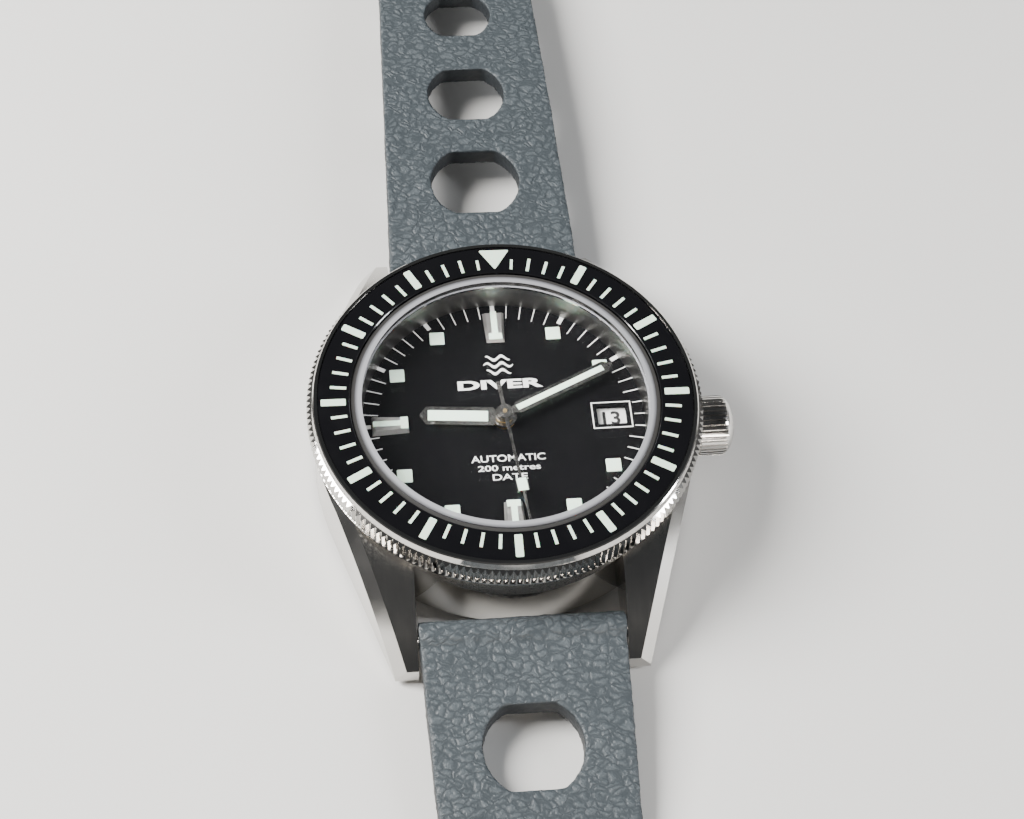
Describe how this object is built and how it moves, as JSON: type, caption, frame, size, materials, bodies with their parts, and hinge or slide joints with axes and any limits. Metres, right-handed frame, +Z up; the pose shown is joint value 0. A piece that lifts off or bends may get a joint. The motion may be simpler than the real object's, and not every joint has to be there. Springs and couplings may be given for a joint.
{
  "type": "dive watch",
  "caption": "Automatic dive watch: round steel case with tapered lugs, coin-edge rotating minute bezel, black dial, date window, crown and perforated leather strap with tang buckle.",
  "frame": {"origin": "centre of the case back's flat outer face, on the dial's axis", "axes": "+X toward 3 o'clock and the crown, +Y toward 12 o'clock along the strap, +Z up through the crystal"},
  "size_m": [0.0425, 0.2446, 0.0123],
  "materials": {
    "case_steel": "316L steel, brushed on top of the lugs, polished on the bevels and the bezel rim",
    "polished_steel": "mirror polished steel",
    "bezel_black": "gloss black insert with pale luminous minute marks",
    "crystal_glass": "clear domed-edge sapphire with a bevelled rim",
    "dial_black": "matte black dial with white print and luminous plots",
    "lume": "pale green-white luminous filling",
    "gasket_rubber": "black nitrile",
    "gasket_nylon": "off-white nylon",
    "movement_brass": "gilt brass wheels",
    "movement_nickel": "nickel-plated bridges and plate, circular graining",
    "ruby": "synthetic ruby",
    "blued_steel": "blued spring steel",
    "date_white": "white disc with black numerals",
    "strap_leather": "blue-grey pebbled leather with raw cut edges"
  },
  "bodies": {
    "case": {"case_middle": "case_steel", "crown_tube": "case_steel", "case_back": "case_steel", "case_back_gasket": "gasket_rubber", "bezel_click_spring": "polished_steel", "crystal": "crystal_glass", "crystal_gasket": "gasket_nylon", "rehaut": "case_steel", "dial": "dial_black", "dial_indexes": "polished_steel", "main_plate": "movement_nickel", "barrel_bridge": "movement_nickel", "train_bridge": "movement_nickel", "balance_cock": "movement_nickel", "pallet_bridge": "movement_nickel", "minute_train_bridge": "movement_nickel", "jewels": "ruby", "bridge_screws": "blued_steel", "movement_ring": "gasket_nylon", "hairspring": "blued_steel", "rotor_bearing": "polished_steel", "rotor_screw": "polished_steel", "spring_bar_twelve": "polished_steel", "spring_bar_six": "polished_steel"},
    "bezel": {"bezel_ring": "polished_steel", "bezel_insert": "bezel_black"},
    "crown_slider": {"crown_gasket": "gasket_rubber"},
    "crown": {"crown": "polished_steel", "winding_stem": "polished_steel"},
    "clutch": {"clutch": "polished_steel"},
    "winding_pinion": {"winding_pinion": "polished_steel"},
    "crown_wheel": {"crown_wheel": "polished_steel"},
    "ratchet": {"ratchet_wheel": "polished_steel", "barrel_arbor": "polished_steel"},
    "setting_lever": {"setting_lever": "polished_steel"},
    "barrel": {"barrel": "movement_brass", "mainspring": "polished_steel"},
    "great_wheel": {"great_wheel": "movement_brass"},
    "third_wheel": {"third_wheel": "movement_brass"},
    "seconds": {"fourth_wheel": "movement_brass", "second_hand": "polished_steel"},
    "escape_wheel": {"escape_wheel": "polished_steel"},
    "minutes": {"cannon_pinion": "movement_brass", "minute_hand": "polished_steel"},
    "minute_wheel": {"minute_wheel": "movement_brass"},
    "hours": {"hour_wheel": "movement_brass", "hour_hand": "polished_steel"},
    "pallet_fork": {"pallet_fork": "polished_steel"},
    "balance": {"balance_wheel": "movement_brass"},
    "rotor": {"rotor": "movement_nickel"},
    "date_disc": {"date_disc": "date_white"},
    "strap_twelve": {"strap_twelve": "strap_leather", "buckle_spring_bar": "polished_steel", "fixed_keeper": "strap_leather"},
    "strap_six": {"strap_six": "strap_leather"},
    "buckle": {"buckle_frame": "case_steel"},
    "tongue": {"buckle_tongue": "case_steel"},
    "keeper": {"sliding_keeper": "strap_leather"}
  },
  "joints": [
    {"name": "bezel_turn", "type": "hinge", "parent": "case", "child": "bezel", "pos_m": [0, 0, 0.0107], "axis": [0, 0, 1], "continuous": true},
    {"name": "crown_pull", "type": "slide", "parent": "case", "child": "crown_slider", "axis": [1, 0, 0], "range_m": [0, 0.001]},
    {"name": "crown_turn", "type": "hinge", "parent": "crown_slider", "child": "crown", "pos_m": [0.0206, 0, 0.0052], "axis": [1, 0, 0], "continuous": true},
    {"name": "clutch_slide", "type": "slide", "parent": "crown", "child": "clutch", "axis": [1, 0, 0], "range_m": [-0.0015, 0]},
    {"name": "winding_pinion_turn", "type": "hinge", "parent": "case", "child": "winding_pinion", "pos_m": [0.0206, 0, 0.0052], "axis": [1, 0, 0], "continuous": true},
    {"name": "crown_wheel_turn", "type": "hinge", "parent": "case", "child": "crown_wheel", "pos_m": [0.0075, 0, 0.00385], "axis": [0, 0, 1], "continuous": true},
    {"name": "ratchet_turn", "type": "hinge", "parent": "case", "child": "ratchet", "pos_m": [0.00434, 0.0062, 0.00385], "axis": [0, 0, 1], "continuous": true},
    {"name": "setting_lever_turn", "type": "hinge", "parent": "case", "child": "setting_lever", "pos_m": [0.0114, -0.0026, 0.00625], "axis": [0, 0, 1], "range_deg": [-27.3, 0]},
    {"name": "minute_hand_turn", "type": "hinge", "parent": "case", "child": "minutes", "pos_m": [0, 0, 0.007], "axis": [0, 0, 1], "continuous": true},
    {"name": "hour_hand_turn", "type": "hinge", "parent": "case", "child": "hours", "pos_m": [0, 0, 0.007], "axis": [0, 0, 1], "continuous": true},
    {"name": "second_hand_turn", "type": "hinge", "parent": "case", "child": "seconds", "pos_m": [0, 0, 0.005], "axis": [0, 0, 1], "continuous": true},
    {"name": "minute_wheel_turn", "type": "hinge", "parent": "case", "child": "minute_wheel", "pos_m": [0.0012, -0.00208, 0.0064], "axis": [0, 0, 1], "continuous": true},
    {"name": "third_wheel_turn", "type": "hinge", "parent": "case", "child": "third_wheel", "pos_m": [-0.0039, 0.00225, 0.0045], "axis": [0, 0, 1], "continuous": true},
    {"name": "great_wheel_turn", "type": "hinge", "parent": "case", "child": "great_wheel", "pos_m": [-0.0009, 0.00561, 0.0048], "axis": [0, 0, 1], "continuous": true},
    {"name": "barrel_turn", "type": "hinge", "parent": "case", "child": "barrel", "pos_m": [0.00434, 0.0062, 0.0045], "axis": [0, 0, 1], "continuous": true},
    {"name": "escape_wheel_turn", "type": "hinge", "parent": "case", "child": "escape_wheel", "pos_m": [-0.00183, -0.00261, 0.0045], "axis": [0, 0, 1], "continuous": true},
    {"name": "pallet_rock", "type": "hinge", "parent": "case", "child": "pallet_fork", "pos_m": [-0.00298, -0.00426, 0.0048], "axis": [0, 0, 1], "range_deg": [-5, 5]},
    {"name": "balance_swing", "type": "hinge", "parent": "case", "child": "balance", "pos_m": [-0.00465, -0.00664, 0.0044], "axis": [0, 0, 1], "range_deg": [-270, 270], "stiffness_Nm_per_rad": 0.000001},
    {"name": "rotor_turn", "type": "hinge", "parent": "case", "child": "rotor", "pos_m": [0, 0, 0.002], "axis": [0, 0, 1], "continuous": true},
    {"name": "date_turn", "type": "hinge", "parent": "case", "child": "date_disc", "pos_m": [0, 0, 0.0065], "axis": [0, 0, 1], "continuous": true},
    {"name": "strap_twelve_fold", "type": "hinge", "parent": "case", "child": "strap_twelve", "pos_m": [0, 0.0212, 0.0035], "axis": [1, 0, 0], "range_deg": [-85, 80]},
    {"name": "strap_six_fold", "type": "hinge", "parent": "case", "child": "strap_six", "pos_m": [0, -0.0212, 0.0035], "axis": [1, 0, 0], "range_deg": [-80, 85]},
    {"name": "buckle_fold", "type": "hinge", "parent": "strap_twelve", "child": "buckle", "pos_m": [0, 0.097, 0.0017], "axis": [1, 0, 0], "range_deg": [-40, 60]},
    {"name": "tongue_fold", "type": "hinge", "parent": "buckle", "child": "tongue", "pos_m": [0, 0.097, 0.0017], "axis": [1, 0, 0], "range_deg": [0, 50]},
    {"name": "keeper_slide", "type": "slide", "parent": "strap_twelve", "child": "keeper", "axis": [0, 0.998, -0.0639], "range_m": [-0.005, 0.005]}
  ],
  "couplings": [
    {"joint": "clutch_slide", "follows": "crown_pull", "ratio": -1.5},
    {"joint": "setting_lever_turn", "follows": "crown_pull", "rad_per_m": -476.1},
    {"joint": "winding_pinion_turn", "follows": "crown_turn", "ratio": 1},
    {"joint": "crown_wheel_turn", "follows": "crown_turn", "ratio": 0.36},
    {"joint": "ratchet_turn", "follows": "crown_turn", "ratio": -0.27273},
    {"joint": "hour_hand_turn", "follows": "minute_hand_turn", "ratio": 0.083333},
    {"joint": "minute_wheel_turn", "follows": "minute_hand_turn", "ratio": -0.33333},
    {"joint": "third_wheel_turn", "follows": "minute_hand_turn", "ratio": -8},
    {"joint": "great_wheel_turn", "follows": "minute_hand_turn", "ratio": 1},
    {"joint": "second_hand_turn", "follows": "minute_hand_turn", "ratio": 60},
    {"joint": "escape_wheel_turn", "follows": "minute_hand_turn", "ratio": -720},
    {"joint": "barrel_turn", "follows": "minute_hand_turn", "ratio": -0.14286}
  ]
}
